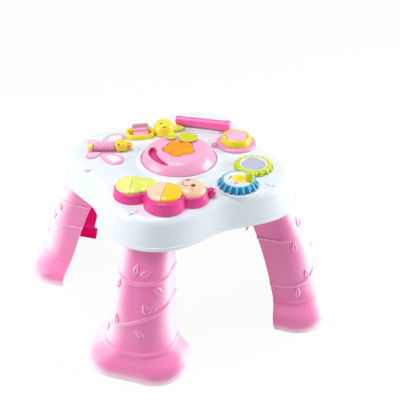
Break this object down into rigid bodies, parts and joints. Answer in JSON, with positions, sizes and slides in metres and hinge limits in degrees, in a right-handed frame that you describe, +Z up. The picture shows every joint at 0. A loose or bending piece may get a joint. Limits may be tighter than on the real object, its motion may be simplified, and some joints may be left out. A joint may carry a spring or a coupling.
{
  "type": "musical activity table",
  "caption": "Low four-legged toy table with a round-lobed white top carrying press keys, a spinning dome, a meshed dial and mirror wheel, a drum button, a paddle, a roller and a toy handset.",
  "frame": {"origin": "floor level under the middle of the table", "axes": "+Z up; the four legs stand on the diagonals; the inchworm keys face -X and -Y"},
  "size_m": [0.4636, 0.4636, 0.2846],
  "materials": {
    "shell_white": "glossy moulded ABS, cool white",
    "leg_pink": "satin moulded polypropylene, candy pink",
    "base_magenta": "glossy moulded ABS, deep pink",
    "key_yellow": "glossy moulded ABS, yellow",
    "key_lime": "glossy moulded ABS, lime",
    "key_peach": "glossy moulded ABS, peach",
    "key_gold": "glossy moulded ABS, golden yellow",
    "face_peach": "glossy moulded ABS, pale peach",
    "dome_pink": "glossy moulded ABS, pale pink",
    "groove_rose": "moulded ABS, rose",
    "orange_clear": "clear tinted polystyrene, orange",
    "lime_leaf": "glossy moulded ABS, lime",
    "dial_blue": "glossy moulded ABS, turquoise blue",
    "dial_white": "printed card-white plastic disc",
    "wheel_lime": "glossy moulded ABS, lime",
    "mirror_film": "silvered acrylic",
    "drum_pink": "glossy moulded ABS, pink",
    "drum_lime": "glossy moulded ABS, yellow-lime",
    "drum_cap": "glossy moulded ABS, pale pink",
    "bird_yellow": "glossy moulded ABS, yellow",
    "beak_lime": "glossy moulded ABS, lime",
    "paddle_pink": "glossy moulded ABS, light pink",
    "bee_yellow": "glossy moulded ABS, yellow",
    "bee_pink": "glossy moulded ABS, pink",
    "bar_pink": "glossy moulded ABS, hot pink",
    "cradle_white": "glossy moulded ABS, cool white",
    "switch_grey": "matt moulded ABS, grey",
    "board_green": "circuit board laminate",
    "rubber_grey": "silicone rubber",
    "steel": "zinc-plated steel",
    "cell_wrap": "plain wrapped dry cell",
    "speaker_black": "black paper cone and frame",
    "lead_sleeve": "soft sleeved lead"
  },
  "bodies": {
    "table": {"top_shell": "shell_white", "bottom_cover": "shell_white", "shell_screws": "steel", "battery_door": "shell_white", "door_screw": "steel", "batteries": "cell_wrap", "battery_contacts": "steel", "speaker": "speaker_black", "main_board": "board_green", "key_board": "board_green", "key_pads": "rubber_grey", "key_board_posts": "shell_white", "power_switch": "speaker_black", "wiring": "lead_sleeve", "inchworm_base": "base_magenta", "drum_base": "drum_pink", "drum_ring": "drum_lime", "drum_board": "board_green", "bird_tray": "bird_yellow", "bird_head": "bird_yellow", "bird_beak": "beak_lime", "paddle_axle": "steel", "bee_wings": "bee_pink", "bee_tail": "bee_yellow", "bee_head": "bee_yellow", "bee_axle": "steel", "handset_cradle": "cradle_white", "leg_back_right": "leg_pink", "leg_back_left": "leg_pink", "leg_front_left": "leg_pink", "leg_front_right": "leg_pink"},
    "dome": {"spinner_dome": "dome_pink", "groove_insert": "groove_rose", "leaf_tabs": "lime_leaf", "dome_clip": "steel"},
    "flower": {"flower_button": "orange_clear"},
    "dial_wheel": {"dial": "dial_blue", "dial_face": "dial_white", "dial_peg": "lime_leaf", "dial_clip": "steel"},
    "mirror_body": {"mirror_wheel": "wheel_lime", "mirror": "mirror_film", "mirror_clip": "steel"},
    "drum": {"drum_button": "drum_cap"},
    "yellow_key": {"key_yellow": "key_yellow"},
    "lime_key": {"key_lime": "key_lime"},
    "peach_key": {"key_peach": "key_peach"},
    "gold_key": {"key_gold": "key_gold"},
    "head_key": {"face_key": "face_peach"},
    "paddle_wheel": {"paddle": "paddle_pink"},
    "roller": {"bee_roller": "bee_pink"},
    "phone_bar": {"handset": "bar_pink"},
    "power_slider": {"power_knob": "switch_grey"}
  },
  "joints": [
    {"name": "yellow_key_press", "type": "slide", "parent": "table", "child": "yellow_key", "axis": [0, 0, -1], "range_m": [0, 0.003], "stiffness_N_per_m": 400, "springref_m": -0.002},
    {"name": "lime_key_press", "type": "slide", "parent": "table", "child": "lime_key", "axis": [0, 0, -1], "range_m": [0, 0.003], "stiffness_N_per_m": 400, "springref_m": -0.002},
    {"name": "peach_key_press", "type": "slide", "parent": "table", "child": "peach_key", "axis": [0, 0, -1], "range_m": [0, 0.003], "stiffness_N_per_m": 400, "springref_m": -0.002},
    {"name": "gold_key_press", "type": "slide", "parent": "table", "child": "gold_key", "axis": [0, 0, -1], "range_m": [0, 0.003], "stiffness_N_per_m": 400, "springref_m": -0.002},
    {"name": "head_key_press", "type": "slide", "parent": "table", "child": "head_key", "axis": [0, 0, -1], "range_m": [0, 0.003], "stiffness_N_per_m": 400, "springref_m": -0.002},
    {"name": "drum_press", "type": "slide", "parent": "table", "child": "drum", "axis": [0, 0, -1], "range_m": [0, 0.003], "stiffness_N_per_m": 400, "springref_m": -0.002},
    {"name": "flower_press", "type": "slide", "parent": "dome", "child": "flower", "axis": [0, 0, -1], "range_m": [0, 0.0025], "stiffness_N_per_m": 400, "springref_m": -0.002},
    {"name": "dome_spin", "type": "hinge", "parent": "table", "child": "dome", "pos_m": [0, 0, 0.26], "axis": [0, 0, 1], "continuous": true},
    {"name": "dial_spin", "type": "hinge", "parent": "table", "child": "dial_wheel", "pos_m": [0.046, -0.116, 0.26], "axis": [0, 0, 1], "continuous": true},
    {"name": "mirror_spin", "type": "hinge", "parent": "table", "child": "mirror_body", "pos_m": [0.097, -0.08, 0.26], "axis": [0, 0, 1], "continuous": true},
    {"name": "paddle_spin", "type": "hinge", "parent": "table", "child": "paddle_wheel", "pos_m": [-0.02, 0.109, 0.2664], "axis": [0.9613, -0.2756, 0], "continuous": true},
    {"name": "bee_spin", "type": "hinge", "parent": "table", "child": "roller", "pos_m": [-0.097, 0.089, 0.261], "axis": [0.8862, -0.4633, 0], "continuous": true},
    {"name": "power_slide", "type": "slide", "parent": "table", "child": "power_slider", "axis": [1, 0, 0], "range_m": [0, 0.008]},
    {"name": "handset_lift", "type": "slide", "parent": "table", "child": "phone_bar", "axis": [0, 0, 1], "range_m": [0, 0.06]}
  ],
  "couplings": [
    {"joint": "mirror_spin", "follows": "dial_spin", "ratio": -1}
  ]
}
